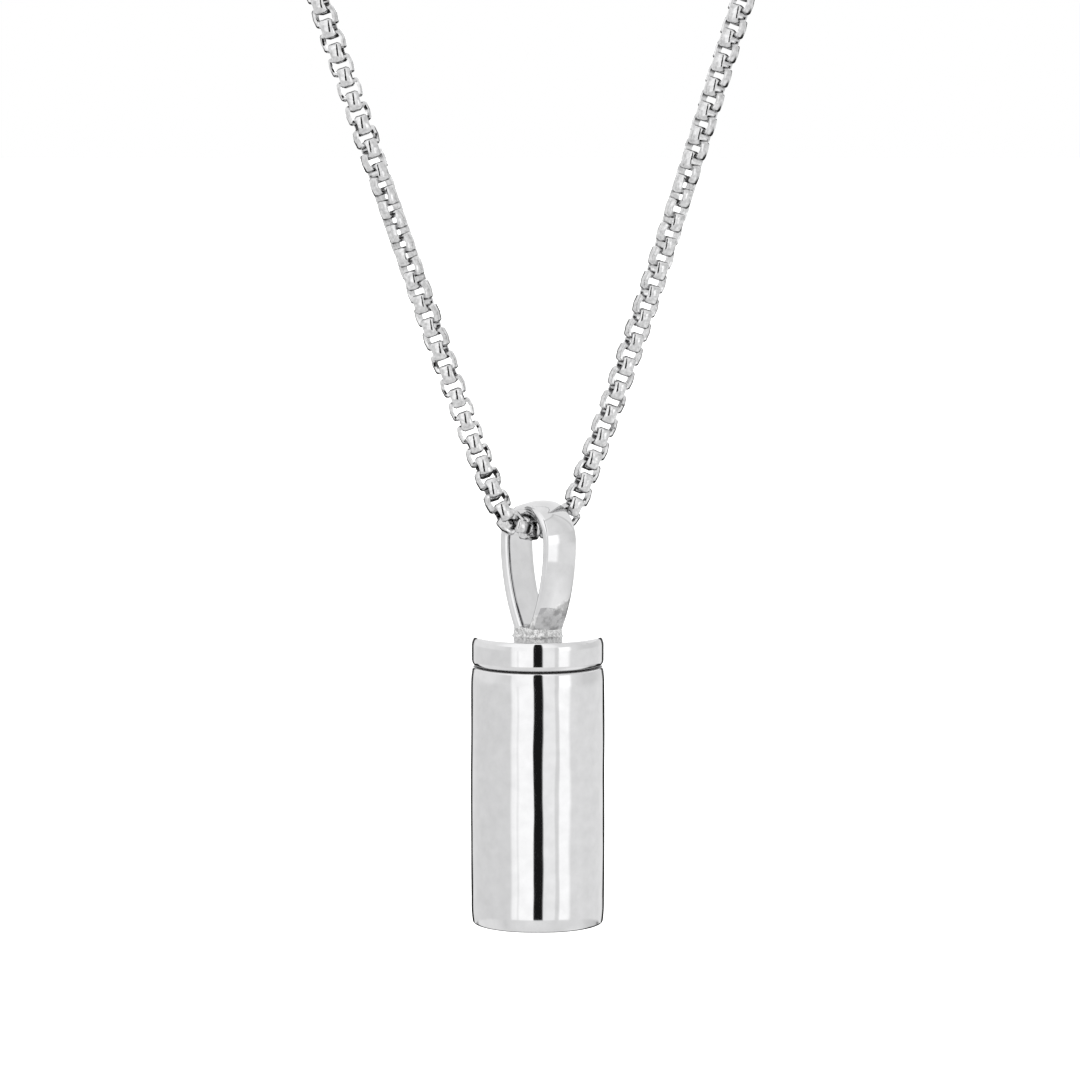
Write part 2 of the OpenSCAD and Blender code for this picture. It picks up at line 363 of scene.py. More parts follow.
def add_node(tree, kind, x, y, inputs=None, **settings):
    """A node at a place of the tree, with its settings and its inputs."""
    node = tree.nodes.new(kind)
    node.location = (x, y)
    for key, value in settings.items():
        setattr(node, key, value)
    set_inputs(tree, node, inputs or {})
    return node


def noise(tree, vector, x, y, scale, detail, roughness=0.5):
    """Noise over a vector, as a share."""
    inputs = {"Vector": vector, "Scale": scale, "Detail": detail, "Roughness": roughness}
    return add_node(tree, "ShaderNodeTexNoise", x, y, inputs).outputs["Fac"]


def ranged(tree, value, source, target, x, y):
    """A value carried evenly from a source range to a target range and held at its ends."""
    inputs = {"From Min": source[0], "From Max": source[1], "To Min": target[0], "To Max": target[1]}
    return add_node(tree, "ShaderNodeMapRange", x, y, {"Value": value, **inputs}).outputs["Result"]


def mixed(tree, share, first, second, x, y):
    """The mix of two linked colours, or of a linked value and a plain one, by a share."""
    is_colour = isinstance(second, bpy.types.NodeSocket)
    low, high, result = (6, 7, 2) if is_colour else (2, 3, 0)
    return add_node(tree, "ShaderNodeMix", x, y, {0: share, low: first, high: second},
                    data_type="RGBA" if is_colour else "FLOAT").outputs[result]


def two_tones(tree, share, colour, dark, pale, x, y):
    """Two tones of a colour over a share. dark and pale each hold a place on the share and a factor."""
    node = add_node(tree, "ShaderNodeValToRGB", x, y, {"Fac": share})
    for element, (place, factor) in zip(node.color_ramp.elements, (dark, pale)):
        element.position = place
        element.color = (*[min(part * factor, 1) for part in colour], 1)
    return node.outputs["Color"]


def add_relief(tree, height, distance, strength, x, y):
    """Bumps the shader's surface, on top of the relief that it has."""
    normal = tree.nodes["Principled BSDF"].inputs["Normal"]
    inputs = {"Height": height, "Distance": distance, "Strength": strength}
    if normal.is_linked:
        inputs["Normal"] = normal.links[0].from_socket
    tree.links.new(add_node(tree, "ShaderNodeBump", x, y, inputs).outputs["Normal"], normal)


def blend_in(tree, name, share, other, x, y):
    """Blends a plain value or a linked colour by a share into what the shader's input is linked to."""
    socket = tree.nodes["Principled BSDF"].inputs[name]
    tree.links.new(mixed(tree, share, socket.links[0].from_socket, other, x, y), socket)


def new_material(name):
    """A new material, with its node tree, its shader and its object coordinates."""
    material = bpy.data.materials.new(name)
    material.use_nodes = True
    tree = material.node_tree
    coords = add_node(tree, "ShaderNodeTexCoord", -1200, 0)
    return material, tree, tree.nodes["Principled BSDF"], coords.outputs["Object"]


def polished_steel(name, colour, roughness, scratch_scale, scratch_depth, smudge=0.03, lay=HAND_LAY,
                   tone_scale=900, tone_low=0.955):
    """Polished steel: a mirror with a faint change of tone, fine hairline scratches and soft smudges in its
    gloss. lay squeezes the scratches along each axis."""
    material, tree, shader, place = new_material(name)
    tone = noise(tree, place, -800, 300, scale=tone_scale, detail=6)
    tint = two_tones(tree, tone, colour, (0.3, tone_low), (0.7, 2 - tone_low), -500, 300)
    smear = noise(tree, place, -800, 0, scale=420, detail=5, roughness=0.6)
    gloss = ranged(tree, smear, (0.35, 0.75), (roughness, roughness + smudge), -500, 0)
    set_inputs(tree, shader, {"Metallic": 1, "Base Color": tint, "Roughness": gloss})
    squeezed = add_node(tree, "ShaderNodeMapping", -1000, -350, {"Vector": place, "Scale": lay})
    hair = noise(tree, squeezed.outputs["Vector"], -800, -350, scale=scratch_scale, detail=4)
    add_relief(tree, hair, scratch_depth, 0.35, -300, -350)
    return material


def height_share(tree, height, fade, x, y, waver=0, lean=(0, 0), below=1):
    """A share that is below under a height and its rest to 1 above it. Noise wavers the border. lean is how
    much the border drops for each step to the right and to the back of the pendant's axis."""
    coords = add_node(tree, "ShaderNodeTexCoord", x - 900, y).outputs["Object"]
    value = add_node(tree, "ShaderNodeVectorMath", x - 700, y, {0: coords, 1: (*lean, 1)},
                     operation="DOT_PRODUCT").outputs["Value"]
    middle = height + lean[0] * PIVOT[0] + lean[1] * PIVOT[1] + waver / 2
    if waver:
        border = noise(tree, coords, x - 700, y - 200, scale=900, detail=3)
        value = add_node(tree, "ShaderNodeMath", x - 500, y - 200, {0: border, 1: waver, 2: value},
                         operation="MULTIPLY_ADD").outputs[0]
    return ranged(tree, value, (middle - fade / 2, middle + fade / 2), (below, 1 - below), x - 200, y)


def satin(material, height, roughness, above):
    """Leaves the faces from a height on, above it or below it, satin, as a turning tool leaves them."""
    border = 0.02 * MM
    y = -800 if above else -1200
    start = height - border if above else height + border
    share = height_share(material.node_tree, start, border, -300, y, below=0 if above else 1)
    blend_in(material.node_tree, "Roughness", share, roughness, -150, y + 200)


def heat_stained(material, colour, height):
    """Heat and flux stains below a height, where the torch has been: dull grey patches with brighter ones
    between."""
    tree = material.node_tree
    share = height_share(tree, height, 0.3 * MM, -300, -900, waver=1.2 * MM, lean=(-0.6, 0.25))
    coords = add_node(tree, "ShaderNodeTexCoord", -1200, -1300)
    patches = noise(tree, coords.outputs["Object"], -900, -1300, scale=1150, detail=3)
    tint = two_tones(tree, patches, colour, (0.42, 0.76), (0.58, 1.32), -600, -1300)
    blend_in(tree, "Base Color", share, tint, -150, 400)
    blend_in(tree, "Roughness", share, 0.26, -150, 0)
    add_relief(tree, patches, 0.03 * MM, share, -100, -1100)


def soldered_metal(name, colour):
    """Soldered metal: a dimpled, dull-and-bright skin left by the flow of the solder."""
    material, tree, shader, place = new_material(name)
    cells = noise(tree, place, -800, 0, scale=3400, detail=6, roughness=0.7)
    tint = two_tones(tree, cells, colour, (0.40, 0.6), (0.58, 1.25), -500, 250)
    gloss = ranged(tree, cells, (0, 1), (0.14, 0.36), -500, 0)
    set_inputs(tree, shader, {"Metallic": 1, "Base Color": tint, "Roughness": gloss})
    add_relief(tree, cells, 0.04 * MM, 0.9, -300, -300)
    return material


def pale_floor(name):
    """A pale matt floor with a barely visible grain."""
    material, tree, shader, place = new_material(name)
    grain = noise(tree, place, -700, 0, scale=40, detail=2)
    tint = two_tones(tree, grain, (1, 1, 1), (0, 0.93), (1, 0.95), -400, 0)
    set_inputs(tree, shader, {"Base Color": tint, "Roughness": 0.9, "Specular IOR Level": 0.1})
    return material


# Stage

# The studio round the pendant: for each band of heights, rows of azimuth in degrees and brightness.
# Azimuth 0 is in front of the pendant, on the camera's side, and 90 is to its right.
UNDERFOOT = [
    (-180, 0.90), (-165, 0.80), (-152, 0.08), (-124, 0.08), (-112, 1.00), (0, 1.05), (100, 0.95),
    (116, 0.08), (152, 0.08), (165, 0.80), (180, 0.90),
]
LOW = [
    (-180, 0.90), (-166, 0.85), (-158, 0.05), (-132, 0.05), (-124, 1.15), (-80, 1.10), (-36, 1.10),
    (0, 1.12), (30, 1.08), (50, 1.20), (65, 1.34), (90, 1.34), (108, 1.10), (120, 0.04), (158, 0.04),
    (166, 0.85), (180, 0.90),
]
SHADED = [
    (-180, 0.03), (-138, 0.03), (-130, 1.20), (-80, 1.15), (-36, 1.12), (0, 1.14),
    (30, 1.08), (50, 1.20), (65, 1.34), (90, 1.34), (108, 1.10), (120, 0.03), (180, 0.03),
]
BELOW = [
    (-180, 0.03), (-138, 0.03), (-130, 1.24), (-80, 1.20), (-60, 1.02), (-36, 1.18), (0, 1.22),
    (30, 1.12), (50, 1.16), (65, 1.18), (90, 1.10), (126, 0.84), (136, 0.03), (180, 0.03),
]
PANELS = [
    (-180, 0.02), (-154.5, 0.02), (-151.5, 1.02), (-147, 1.06), (-49, 1.09), (-45, 1.48), (-37.5, 1.58),
    (-36, 1.36), (-34.5, 1.36), (-32.5, 1.62), (-8.2, 1.62), (-7.0, 0.016), (8.0, 0.016),
    (9.2, 1.36), (29, 1.40), (30.5, 1.12), (36, 1.12), (38, 1.62), (54, 1.62), (60, 1.19),
    (147, 1.14), (151.5, 1.02), (154.5, 0.02), (180, 0.02),
]
PANELS_HIGH = [
    (-180, 1.95), (-166, 1.90), (-161, 0.05), (-151, 0.05), (-148, 1.10), (-134, 1.20), (-80, 1.24),
    (-49, 1.09), (-45, 1.48), (-8.2, 1.62), (-7.0, 0.016), (8.0, 0.016), (9.2, 1.36), (29, 1.36), (31, 1.12),
    (36.5, 1.12), (38, 1.80), (56, 1.80), (62, 1.22), (74, 1.14), (85, 1.04), (95, 1.00), (122, 1.00),
    (148, 1.10), (151, 0.05), (161, 0.05), (166, 1.90), (180, 1.95),
]
CEILING = [
    (-180, 1.26), (-80, 1.28), (-55, 1.55), (-8.2, 1.62), (-7.0, 0.016), (8.0, 0.016), (9.2, 1.55),
    (28, 1.50), (44, 1.17), (72, 1.15), (80, 1.08), (88, 1.08), (96, 1.15), (100, 1.15), (102, 0.92),
    (105, 0.92), (108, 1.24), (180, 1.26),
]
CEILING_EDGE = [
    (-180, 1.26), (-80, 1.28), (-55, 1.50), (-8.2, 1.50), (-7.0, 0.016), (8.0, 0.016), (9.2, 1.40),
    (28, 0.92), (105, 0.92), (108, 1.24), (180, 1.26),
]
ZENITH = [(-180, 1.26), (-90, 1.26), (-40, 1.50), (30, 1.50), (60, 1.26), (180, 1.26)]
# Each band with the heights, in degrees, over which it takes the place of the one below it
BANDS = (
    (UNDERFOOT, None), (LOW, (-62, -52)), (SHADED, (-48, -42)), (BELOW, (-32, -20)),
    (PANELS, (-15.8, -14.6)), (PANELS_HIGH, (-6.6, -2)), (CEILING, (16.5, 18.5)),
    (CEILING_EDGE, (59.5, 60.5)), (ZENITH, (62, 63.5)),
)


def sky_place(tree):
    """Where a direction of the sky lies: its azimuth as a share of the circle from -180 to 180 degrees, and
    its height as an angle."""
    coords = add_node(tree, "ShaderNodeTexCoord", -1200, 0).outputs["Generated"]
    split = add_node(tree, "ShaderNodeSeparateXYZ", -1000, 0, {0: coords}).outputs
    back = add_node(tree, "ShaderNodeMath", -800, 100, {0: split["Y"], 1: -1}, operation="MULTIPLY")
    azimuth = add_node(tree, "ShaderNodeMath", -600, 100, {0: split["X"], 1: back.outputs[0]},
                       operation="ARCTAN2")
    height = add_node(tree, "ShaderNodeMath", -600, -200, {0: split["Z"]}, operation="ARCSINE")
    share = ranged(tree, azimuth.outputs[0], (-math.pi, math.pi), (0, 1), -400, 100)
    return share, height.outputs[0]


def band_light(tree, share, rows, x):
    """The light of one band: a ramp of brightness over azimuth."""
    node = add_node(tree, "ShaderNodeValToRGB", x, 600, {"Fac": share})
    ramp = node.color_ramp
    places = [(azimuth + 180) / 360 for azimuth, _ in rows]
    for place in places[1:-1]:
        ramp.elements.new(place)
    for element, place, (_, light) in zip(ramp.elements, places, rows):
        element.position = place
        element.color = (light, light, light, 1)
    return node.outputs["Color"]


def stacked_bands(tree):
    """The light of the whole studio: as the height rises, each band takes the place of the one below it."""
    share, height = sky_place(tree)
    for place, (rows, heights) in enumerate(BANDS):
        x = -100 + 300 * place
        band = band_light(tree, share, rows, x)
        if heights is None:
            light = band
            continue
        rise = ranged(tree, height, np.radians(heights), (0, 1), x, -300)
        light = mixed(tree, rise, light, band, x + 150, 200)
    return light


def studio_world(name):
    """The studio as a world: the bands light the pendant and show in its steel, and the backdrop itself is
    plain white."""
    world = bpy.data.worlds.new(name)
    world.use_nodes = True
    tree = world.node_tree
    tree.nodes.clear()
    panels = add_node(tree, "ShaderNodeBackground", 1150, 100, {"Color": stacked_bands(tree)})
    plain = add_node(tree, "ShaderNodeBackground", 1150, -100, {"Color": (1, 1, 1, 1)})
    path = add_node(tree, "ShaderNodeLightPath", 1150, 400).outputs["Is Camera Ray"]
    shaders = {0: path, 1: panels.outputs[0], 2: plain.outputs[0]}
    choose = add_node(tree, "ShaderNodeMixShader", 1350, 0, shaders)
    add_node(tree, "ShaderNodeOutputWorld", 1500, 0, {"Surface": choose.outputs[0]})
    return world


class PENDANT_OT_stage(Operator):
    """Sets the floor, the studio's light and the camera"""
    bl_idname = "pendant.stage"
    bl_label = "Studio"

    def execute(self, context):
        scene, studio = context.scene, context.scene.pendant_studio
        self.lay_floor(studio)
        scene.world = studio_world("soft_studio")
        self.hang_lamp(scene)
        self.place_camera(scene, studio)
        scene.view_settings.view_transform = "Standard"
        scene.view_settings.look = "None"
        return {"FINISHED"}

    def lay_floor(self, studio):
        """The wide floor far below the pendant, kept out of the steel's reflections."""
        floor_z = CHAMBER_BOX[0][2] - studio.floor_drop
        half = studio.floor_size / 2
        verts = np.array([(-half, -half, floor_z), (half, -half, floor_z),
                          (half, half, floor_z), (-half, half, floor_z)])
        floor = build_mesh("studio_floor", verts, [[0, 1, 2, 3]])
        floor.data.materials.append(pale_floor("pale_floor"))
        floor.visible_glossy = False

    def hang_lamp(self, scene):
        """A very soft light from straight above, kept out of the steel's reflections."""
        lamp = bpy.data.lights.new("overhead_light", "SUN")
        lamp.angle = math.radians(120)
        lamp.energy = 1.2
        lamp_object = bpy.data.objects.new("overhead_light", lamp)
        lamp_object.location = (0, 0, 1)
        lamp_object.visible_glossy = False
        scene.collection.objects.link(lamp_object)

    def place_camera(self, scene, studio):
        """The camera in front of the pendant, looking a little down at the aimed point."""
        camera = bpy.data.cameras.new("photo_camera")
        camera.lens = studio.lens
        camera.sensor_width = 36
        camera.clip_start = 0.01
        camera.clip_end = 30
        camera.dof.use_dof = False
        camera_object = bpy.data.objects.new("photo_camera", camera)
        aim = np.array([PIVOT[0] + studio.aim_side, PIVOT[1], cap_top() + studio.aim_height])
        forward = np.array([0, math.cos(studio.tilt), -math.sin(studio.tilt)])
        camera_object.location = aim - forward * studio.distance
        camera_object.rotation_euler = (math.pi / 2 - studio.tilt, 0, 0)
        scene.collection.objects.link(camera_object)
        scene.camera = camera_object


# Pieces


def cap_top():
    """Height of the cap's top face, from the frame: the plug hangs from it to the node's lowest corner."""
    cap = bpy.context.scene.pendant_cap
    return CAP_BOX[0][2] + cap.plug + cap.thickness


def chamber_outside(sizes, outer, mouth, length):
    """The chamber's profile from the middle of its foot, up its swelling side and over the mouth's rounded
    edge, down to the bore."""
    side = 0.5 - 0.5 * np.cos(np.linspace(0, math.pi, SIDE_ROWS))
    rise = -length + sizes.foot_round + side * (length - sizes.foot_round - sizes.mouth_rise)
    share = -rise / length
    taper = sizes.foot_taper * np.clip(1 - (rise + length) / sizes.foot_run, 0, 1) ** 2
    taper += sizes.mouth_taper * np.clip(1 + rise / sizes.mouth_run, 0, 1) ** 2
    swollen = outer - sizes.swell * (2 * share - 1) ** 2 - taper
    foot, edge, lip = swollen[0] - sizes.foot_round, swollen[-1] - sizes.mouth_round, sizes.lip_round
    return np.concatenate([
        line((0, -length), (foot, -length), 6),
        arc((foot, -length + sizes.foot_round), sizes.foot_round, -90, -6, 8),
        np.column_stack([swollen, rise]),
        arc((edge, -sizes.mouth_rise), sizes.mouth_round, 8, 90, 9, rise=sizes.mouth_rise),
        line((edge - sizes.mouth_round * 0.2, 0), (mouth + lip, 0), 4),
        arc((mouth + lip, -lip), lip, 90, 180, 4),
    ])


def chamber_inside(sizes, bore, thread_low, length):
    """The chamber's profile down the bore, past the thread, to the middle of the cavity's floor."""
    bottom, corner = sizes.floor - length, sizes.floor_round
    return np.concatenate([
        line((bore, -2.5 * sizes.lip_round), (bore, thread_low), BORE_ROWS),
        line((bore, thread_low), (bore, bottom + corner), 8),
        arc((bore - corner, bottom + corner), -corner, 180, 90, 6),
        line((bore - 1.25 * corner, bottom), (0, bottom), 5),
        [(0, bottom)],
    ])


class PENDANT_OT_chamber(Operator):
    """Turns the hollow chamber with the thread inside its mouth"""
    bl_idname = "pendant.chamber"
    bl_label = "Chamber"

    def execute(self, context):
        scene = context.scene
        sizes, cap, finish = scene.pendant_chamber, scene.pendant_cap, scene.pendant_finish
        low, high = CHAMBER_BOX
        length, outer = high[2] - low[2], (high[0] - low[0]) / 2
        bore = outer - sizes.wall
        thread_low = -(cap.plug + cap.pitch * 0.7)
        outside = chamber_outside(sizes, outer, bore + cap.depth, length)
        profile = np.concatenate([outside, chamber_inside(sizes, bore, thread_low, length)])
        rows = np.arange(1, len(profile) - 1)[:, None]

        def relief(angle, height):
            cut = thread(angle, height, cap.pitch, cap.depth, thread_low, -sizes.lip_round)
            waver = sizes.waver * polish(angle, height, length, outer)
            return np.where(rows >= len(outside), cut, waver)

        chamber = build_mesh("urn_chamber", *turned(profile, sizes.segments, high[2], relief), sharp=50)
        steel = polished_steel("chamber_steel", finish.steel, finish.gloss, 900, 0.0012 * MM, lay=TURNED_LAY)
        satin(steel, high[2], finish.satin, above=True)
        finish_piece(chamber, steel, "urn", "chamber")
        return {"FINISHED"}


def cap_profile(sizes, outer, root, low):
    """The cap's profile from the middle of the plug's end, up the plug and round the disc, to the middle of
    its top."""
    under, chamfer, edge, top_rise = -sizes.thickness, sizes.chamfer, sizes.edge_round, sizes.edge_rise
    low_rise = top_rise * 0.7
    return np.concatenate([
        line((0, low), (root - chamfer, low), 5),
        line((root - chamfer, low), (root, low + chamfer), 3),
        line((root, low + chamfer), (root, under), PLUG_ROWS),
        line((root, under), (outer - edge, under), 5),
        arc((outer - edge, under + low_rise), edge, -90, 0, 12, rise=low_rise),
        line((outer, under + low_rise * 1.02), (outer, -top_rise), 8),
        arc((outer - edge, -top_rise), edge, 0, 90, 16, rise=top_rise),
        line((outer - edge * 1.05, 0), (0, 0), 10),
        [(0, 0)],
    ])


class PENDANT_OT_cap(Operator):
    """Turns the cap's disc with its threaded plug"""
    bl_idname = "pendant.cap"
    bl_label = "Screw cap"

    def execute(self, context):
        scene = context.scene
        sizes, chamber, finish = scene.pendant_cap, scene.pendant_chamber, scene.pendant_finish
        outer = (CAP_BOX[1][0] - CAP_BOX[0][0]) / 2
        bore = (CHAMBER_BOX[1][0] - CHAMBER_BOX[0][0]) / 2 - chamber.wall
        root = bore - sizes.gap - sizes.depth
        under, low = -sizes.thickness, -sizes.thickness - sizes.plug

        def ridge(angle, height):
            add = thread(angle, height, sizes.pitch, sizes.depth, low + 0.3 * MM, under - 0.5 * MM)
            return np.where(height < under, add, 0)

        profile = cap_profile(sizes, outer, root, low)
        cap = build_mesh("screw_cap", *turned(profile, chamber.segments, cap_top(), ridge), sharp=50)
        steel = polished_steel("cap_steel", finish.steel, finish.gloss, 900, 0.0012 * MM, lay=TURNED_LAY)
        satin(steel, cap_top(), finish.cap_satin, above=True)
        satin(steel, cap_top() + under, finish.satin, above=False)
        finish_piece(cap, steel, "cap", "bail_cap")
        return {"FINISHED"}


def on_cap(along, across, rise):
    """Points over the cap's top from their places along the hole's axis, across it and up."""
    origin = np.array([PIVOT[0], PIVOT[1], cap_top()])
    side = np.array([-HOLE_AXIS[1], HOLE_AXIS[0], 0])
    return origin + along[..., None] * HOLE_AXIS + across[..., None] * side + rise[..., None] * UP


def loop_stations(bail):
    """Stations round the loop from foot to foot: place across the hole's axis, height above the cap and
    angle of the outward normal. A short straight foot, a long side arc, half a circle, and the same
    mirrored."""
    turn = math.acos((bail.side_radius - bail.loop_radius + bail.foot_half) / bail.side_radius)
    angle = np.linspace(1, 0, 34, endpoint=False) * turn
    side = np.column_stack([
        bail.loop_radius - bail.side_radius + bail.side_radius * np.cos(angle),
        bail.loop_height - bail.side_radius * np.sin(angle),
        -angle,
    ])
    foot = np.array([
        [bail.foot_half, -bail.foot_sink, 0],
        [bail.foot_half, 0.4 * bail.foot_sink, -turn * 0.25],
    ])
    half = np.concatenate([foot, side])
    top = np.linspace(0, math.pi, 49)
    crown = np.column_stack([
        bail.loop_radius * np.cos(top), bail.loop_height + bail.loop_radius * np.sin(top), top])
    other = half[::-1] * [-1, 1, -1] + [0, 0, math.pi]
    return np.concatenate([half, crown, other])


def strap_section(bail, left_round):
    """The strap's section as place across the width and thickness: flat inside with rounded-over corners up
    to a crisp edge, upright at the sides, domed outside."""
    half, inner = bail.strap_width / 2, bail.inner_round
    sag = bail.strap_middle - bail.strap_edge

    def dome(place):
        return bail.strap_middle - sag * (place / half) ** 2 + bail.lean * place

    def outer_corner(side, radius):
        slope = bail.lean - 2 * sag * side * (half - radius * 0.8) / half**2
        normal = math.atan2(1, -slope)
        place = side * (half - radius) + radius * math.cos(normal)
        centre = (side * (half - radius), dome(place) - radius * math.sin(normal))
        return centre, math.degrees(normal), place

    right, right_turn, start = outer_corner(1, bail.right_round)
    left, left_turn, end = outer_corner(-1, left_round)
    across = np.linspace(start, end, 21)[1:-1]
    sweep = bail.inner_sweep
    rise, run = inner * math.sin(sweep), inner * (1 - math.cos(sweep))
    turn = math.degrees(sweep)
    return np.concatenate([
        line((-(half - run), 0), (half - run, 0), 8),
        arc((half - inner, rise), inner, -turn, 0, 8),
        arc(right, bail.right_round, 0, right_turn, 8),
        np.column_stack([across, dome(across)]),
        arc(left, left_round, left_turn, 180, 8),
        arc((-(half - inner), rise), inner, 180, 180 + turn, 8)[:-1],
    ])


def strap_surface(bail):
    """The strap: its section carried round the stations, its thickness along each outward normal. The left
    corner grows rounder from the legs to the arch."""
    stations = loop_stations(bail)
    crown = ease(stations[:, 1], bail.loop_height, bail.loop_height + bail.loop_radius * 0.8)
    leg, arch = strap_section(bail, bail.left_round), strap_section(bail, bail.arch_round)
    sections = leg + crown[:, None, None] * (arch - leg)
    place, height, angle = stations.T[:, :, None]
    across = place + sections[..., 1] * np.cos(angle)
    rise = height + sections[..., 1] * np.sin(angle)
    return on_cap(sections[..., 0], across, rise)


def solder_surface(bail):
    """The solder round both feet: a blunt oval collar that flares onto the cap, wavers along its top edge
    and sinks between the legs, all under soft lumps."""
    level, offset = SOLDER_ROWS[:, :1], SOLDER_ROWS[:, 1:] * MM
    unit_along, unit_across = blunt(full_turn(96)[None, :], 2 / 5.5)
    half_along = bail.strap_width / 2 + 0.07 * MM
    half_across = bail.foot_half + bail.strap_middle + 0.06 * MM
    least = 0.05 * MM
    along = unit_along * np.maximum(half_along + offset, least)
    across = unit_across * np.maximum(half_across + offset, least)
    rise = level * bail.solder
    rough = lumps(along / MM * 5, across / MM * 5, rise / MM * 6, seed=4)
    waver = lumps(along / MM * 2.2, across / MM * 2.2, 0, seed=9)
    skin = np.clip(level * 4, 0, 1)
    swell = 1 + 0.022 * rough * skin
    rise = rise + (0.05 * rough + 0.07 * waver) * MM * skin * (level > 0.5)
    return on_cap(along * swell, across * swell, rise)


class PENDANT_OT_bail(Operator):
    """Sweeps the ribbon bail and lays the solder at its feet"""
    bl_idname = "pendant.bail"
    bl_label = "Ribbon bail"

    def execute(self, context):
        bail, finish = context.scene.pendant_bail, context.scene.pendant_finish
        strap = build_mesh("ribbon_bail", *closed_tube(strap_surface(bail)), sharp=60)
        steel = polished_steel("bail_steel", finish.steel, finish.gloss, 700, 0.0016 * MM)
        heat_stained(steel, finish.solder, cap_top() + bail.stain_height)
        finish_piece(strap, steel, "cap", "bail_cap")
        bead = build_mesh("solder_bead", *closed_tube(solder_surface(bail)))
        skin = soldered_metal("solder_skin", finish.solder)
        finish_piece(bead, skin, "cap", "bail_cap")
        return {"FINISHED"}


def smooth_curve(points, per_stretch=60):
    """A smooth curve through the points: cubic stretches whose tangents are weighted by the distances on
    both sides."""
    gaps = np.linalg.norm(np.diff(points, axis=0), axis=1)[:, None]
    slopes = np.diff(points, axis=0) / gaps
    inner = (slopes[:-1] * gaps[1:] + slopes[1:] * gaps[:-1]) / (gaps[:-1] + gaps[1:])
    tangents = np.concatenate([slopes[:1], inner, slopes[-1:]])
    t = np.linspace(0, 1, per_stretch, endpoint=False)[None, :, None]
    start, end = points[:-1, None], points[1:, None]
    leave, arrive = (tangents[:-1] * gaps)[:, None], (tangents[1:] * gaps)[:, None]
    curve = (start * (2 * t**3 - 3 * t**2 + 1) + leave * (t**3 - 2 * t**2 + t)
             + end * (3 * t**2 - 2 * t**3) + arrive * (t**3 - t**2))
    return np.concatenate([curve.reshape(-1, 3), points[-1:]])


def unit(vectors):
    """Vectors made one long."""
    return vectors / np.linalg.norm(vectors, axis=-1, keepdims=True)


def values_by_height(rise, place, left, right):
    """Values along the chain from those given against the height above the pivot: straight between them, and
    0 at both ends."""
    lowest = int(np.argmin(rise))
    knots = [(place[0], 0)]
    knots += [(np.interp(-height, -rise[:lowest], place[:lowest]), value) for height, value in left]
    knots += [(np.interp(height, rise[lowest:], place[lowest:]), value) for height, value in right]
    knots += [(place[-1], 0)]
    where, values = np.array(knots).T
    return np.interp(place, where, values)


def clasp_ends(clasp):
    """The places along X of the centres of the clasp's left and right rings."""
    left_centre = -clasp.claw_length / 2 + clasp.claw_band - clasp.ring_radius - clasp.ring_wire * 0.1
    right_centre = clasp.claw_length / 2 + clasp.ring_radius
    return left_centre, right_centre


def link_joints(chain, clasp):
    """The points between the links, evenly spaced along the route and then slid on. The count of links is
    even, so that the end links stand a quarter turn apart, as the clasp's rings do."""
    left, right = clasp_ends(clasp)
    first, last = (left - clasp.ring_radius) / MM, (right + clasp.ring_radius) / MM
    route = [(first, 0, 0)] + ROUTE_LEFT + ROUTE_BAIL + ROUTE_RIGHT + [(last, 0, 0)]
    curve = smooth_curve(np.array(route) * MM)
    run = np.concatenate([[0], np.cumsum(np.linalg.norm(np.diff(curve, axis=0), axis=1))])
    pitch = chain.link_length - 2 * chain.band_thickness
    count = 2 * round(run[-1] / pitch / 2)
    marks = np.linspace(0, run[-1], count + 1)
    slide = values_by_height((curve[:, 2] - PIVOT[2]) / MM, run, SLIDE_LEFT, SLIDE_RIGHT)
    marks += np.interp(marks, run, slide) * MM
    return np.column_stack([np.interp(marks, run, curve[:, axis]) for axis in range(3)])


def link_shape(chain):
    """One link about the origin, chain along X and loop across Y: a bowed rounded rectangle. Its band has a
    flat inside and a barrelled outside, and runs along Z."""
    steps = np.radians([26, 45, 64, 90, 116, 135, 154, 206, 225, 244, 270, 296, 315, 334])
    along, across = blunt(steps, 1 / 3)
    bowed = (1 + chain.bow * (1 - along**2)) / (1 + chain.bow)
    half_length, half_width = chain.link_length / 2, chain.width / 2
    inner_length, inner_width = half_length - chain.band_thickness, half_width - chain.band_thickness
    outer = np.column_stack([along * half_length, across * bowed * half_width])
    inner = np.column_stack([along * inner_length, across * bowed * inner_width])
    section = np.array([(-0.93, 0), (0.93, 0), (1, 0.52), (0.6, 1.0), (-0.6, 1.0), (-1, 0.52)])
    share = section[None, :, 1, None]
    loop = inner[:, None] * (1 - share) + outer[:, None] * share
    widening = 1 + chain.flare * (np.abs(along) ** 3 - 0.5)
    band = section[None, :, 0] * chain.band_width / 2 * widening[:, None]
    verts = np.concatenate([loop, band[..., None]], -1)
    return verts.reshape(-1, 3), grid_quads(len(steps), len(section), wrap_rows=True)


def side_directions(centres, along):
    """Two side directions for each link: one towards the front over the chest and outwards round the neck,
    turned about the chain by the roll, and one square to it."""
    rise = (centres[:, 2] - PIVOT[2]) / MM
    outwards = unit((centres - NECK_MIDDLE) * [1, 1, 0])
    high = ease(rise, 50, 120)[:, None]
    face = FRONT * (1 - high) + outwards * high
    face = unit(face - along * (face * along).sum(1, keepdims=True))
    cross = np.cross(along, face)
    angle = np.radians(values_by_height(rise, np.arange(len(centres)), ROLL_LEFT, ROLL_RIGHT))[:, None]
    return face * np.cos(angle) + cross * np.sin(angle), cross * np.cos(angle) - face * np.sin(angle)


